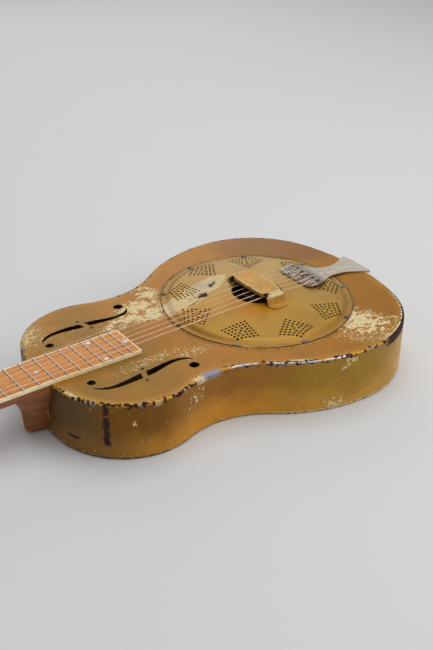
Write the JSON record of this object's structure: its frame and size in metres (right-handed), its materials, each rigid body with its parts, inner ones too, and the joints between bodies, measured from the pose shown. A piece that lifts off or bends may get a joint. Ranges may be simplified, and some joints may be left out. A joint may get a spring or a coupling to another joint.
{
  "type": "resonator guitar",
  "caption": "Metal-bodied resonator guitar with a pierced coverplate over a spun cone, f-holes, handrest, hinged trapeze tailpiece, slotted headstock and turning geared tuners.",
  "frame": {"origin": "under the centre of the resonator, on the plane of the flat back", "axes": "+X towards the tail, +Y towards the treble strings, +Z out of the top; the guitar lies on its back"},
  "size_m": [0.9987, 0.3636, 0.1018],
  "materials": {
    "body_enamel": "worn gloss sunburst enamel",
    "plate_enamel": "worn gloss enamel",
    "raw_steel": "unpainted inside",
    "dark_aluminium": "blackened, spun",
    "pale_maple": "bare",
    "dark_maple": "stained dark",
    "nickel_plate": "dulled nickel",
    "screw_nickel": "dulled",
    "end_pin_black": "gloss",
    "ball_brass": "dull",
    "board_wood": "oiled open grain",
    "cream_binding": "aged cream",
    "fret_metal": "polished by use",
    "pearl_dot": "pearl",
    "bone": "bone",
    "neck_wood": "stained and varnished",
    "roller_steel": "dull",
    "gear_brass": "machined",
    "worm_steel": "machined",
    "button_plastic": "aged cream",
    "plain_string": "drawn wire",
    "wound_string": "bronze winding"
  },
  "bodies": {
    "guitar": {"body_top": "body_enamel", "body_sides": "body_enamel", "body_back": "body_enamel", "soundwell": "raw_steel", "cone": "dark_aluminium", "biscuit": "dark_maple", "saddle": "dark_maple", "cone_screw": "screw_nickel", "coverplate": "plate_enamel", "coverplate_screws": "screw_nickel", "handrest": "plate_enamel", "tailpiece": "nickel_plate", "tailpiece_bracket": "nickel_plate", "tailpiece_pin": "nickel_plate", "tailpiece_screws": "screw_nickel", "end_pin": "end_pin_black", "ball_ends": "ball_brass", "neck_stick": "pale_maple", "neck_block": "pale_maple", "stick_supports": "pale_maple", "fingerboard": "board_wood", "fingerboard_binding": "cream_binding", "frets": "fret_metal", "position_dots": "pearl_dot", "extension_screws": "screw_nickel", "nut": "bone", "neck": "neck_wood", "tuner_plate_treble": "nickel_plate", "tuner_plate_bass": "nickel_plate", "tuner_plate_screws": "screw_nickel", "string_1": "plain_string", "string_2": "plain_string", "string_3": "wound_string", "string_4": "wound_string", "string_5": "wound_string", "string_6": "wound_string"},
    "tuner_shaft_1": {"tuner_worm_1": "worm_steel", "tuner_button_1": "button_plastic"},
    "string_post_1": {"string_roller_1": "roller_steel", "tuner_gear_1": "gear_brass"},
    "tuner_shaft_2": {"tuner_worm_2": "worm_steel", "tuner_button_2": "button_plastic"},
    "string_post_2": {"string_roller_2": "roller_steel", "tuner_gear_2": "gear_brass"},
    "tuner_shaft_3": {"tuner_worm_3": "worm_steel", "tuner_button_3": "button_plastic"},
    "string_post_3": {"string_roller_3": "roller_steel", "tuner_gear_3": "gear_brass"},
    "tuner_shaft_4": {"tuner_worm_4": "worm_steel", "tuner_button_4": "button_plastic"},
    "string_post_4": {"string_roller_4": "roller_steel", "tuner_gear_4": "gear_brass"},
    "tuner_shaft_5": {"tuner_worm_5": "worm_steel", "tuner_button_5": "button_plastic"},
    "string_post_5": {"string_roller_5": "roller_steel", "tuner_gear_5": "gear_brass"},
    "tuner_shaft_6": {"tuner_worm_6": "worm_steel", "tuner_button_6": "button_plastic"},
    "string_post_6": {"string_roller_6": "roller_steel", "tuner_gear_6": "gear_brass"}
  },
  "joints": [
    {"name": "tuner_1_turn", "type": "hinge", "parent": "guitar", "child": "tuner_shaft_1", "pos_m": [-0.68588, 0.037, 0.0498], "axis": [-0.2317, 0, 0.9728], "continuous": true},
    {"name": "post_1_turn", "type": "hinge", "parent": "guitar", "child": "string_post_1", "pos_m": [-0.67902, 0, 0.05144], "axis": [0, -1, 0], "continuous": true},
    {"name": "tuner_2_turn", "type": "hinge", "parent": "guitar", "child": "tuner_shaft_2", "pos_m": [-0.71993, 0.037, 0.04169], "axis": [-0.2317, 0, 0.9728], "continuous": true},
    {"name": "post_2_turn", "type": "hinge", "parent": "guitar", "child": "string_post_2", "pos_m": [-0.71307, 0, 0.04333], "axis": [0, -1, 0], "continuous": true},
    {"name": "tuner_3_turn", "type": "hinge", "parent": "guitar", "child": "tuner_shaft_3", "pos_m": [-0.75398, 0.037, 0.03358], "axis": [-0.2317, 0, 0.9728], "continuous": true},
    {"name": "post_3_turn", "type": "hinge", "parent": "guitar", "child": "string_post_3", "pos_m": [-0.74711, 0, 0.03522], "axis": [0, -1, 0], "continuous": true},
    {"name": "tuner_4_turn", "type": "hinge", "parent": "guitar", "child": "tuner_shaft_4", "pos_m": [-0.75398, -0.037, 0.03358], "axis": [-0.2317, 0, 0.9728], "continuous": true},
    {"name": "post_4_turn", "type": "hinge", "parent": "guitar", "child": "string_post_4", "pos_m": [-0.74711, 0, 0.03522], "axis": [0, -1, 0], "continuous": true},
    {"name": "tuner_5_turn", "type": "hinge", "parent": "guitar", "child": "tuner_shaft_5", "pos_m": [-0.71993, -0.037, 0.04169], "axis": [-0.2317, 0, 0.9728], "continuous": true},
    {"name": "post_5_turn", "type": "hinge", "parent": "guitar", "child": "string_post_5", "pos_m": [-0.71307, 0, 0.04333], "axis": [0, -1, 0], "continuous": true},
    {"name": "tuner_6_turn", "type": "hinge", "parent": "guitar", "child": "tuner_shaft_6", "pos_m": [-0.68588, -0.037, 0.0498], "axis": [-0.2317, 0, 0.9728], "continuous": true},
    {"name": "post_6_turn", "type": "hinge", "parent": "guitar", "child": "string_post_6", "pos_m": [-0.67902, 0, 0.05144], "axis": [0, -1, 0], "continuous": true}
  ],
  "couplings": [
    {"joint": "post_1_turn", "follows": "tuner_1_turn", "ratio": 0.071429},
    {"joint": "post_2_turn", "follows": "tuner_2_turn", "ratio": 0.071429},
    {"joint": "post_3_turn", "follows": "tuner_3_turn", "ratio": 0.071429},
    {"joint": "post_4_turn", "follows": "tuner_4_turn", "ratio": 0.071429},
    {"joint": "post_5_turn", "follows": "tuner_5_turn", "ratio": 0.071429},
    {"joint": "post_6_turn", "follows": "tuner_6_turn", "ratio": 0.071429}
  ]
}
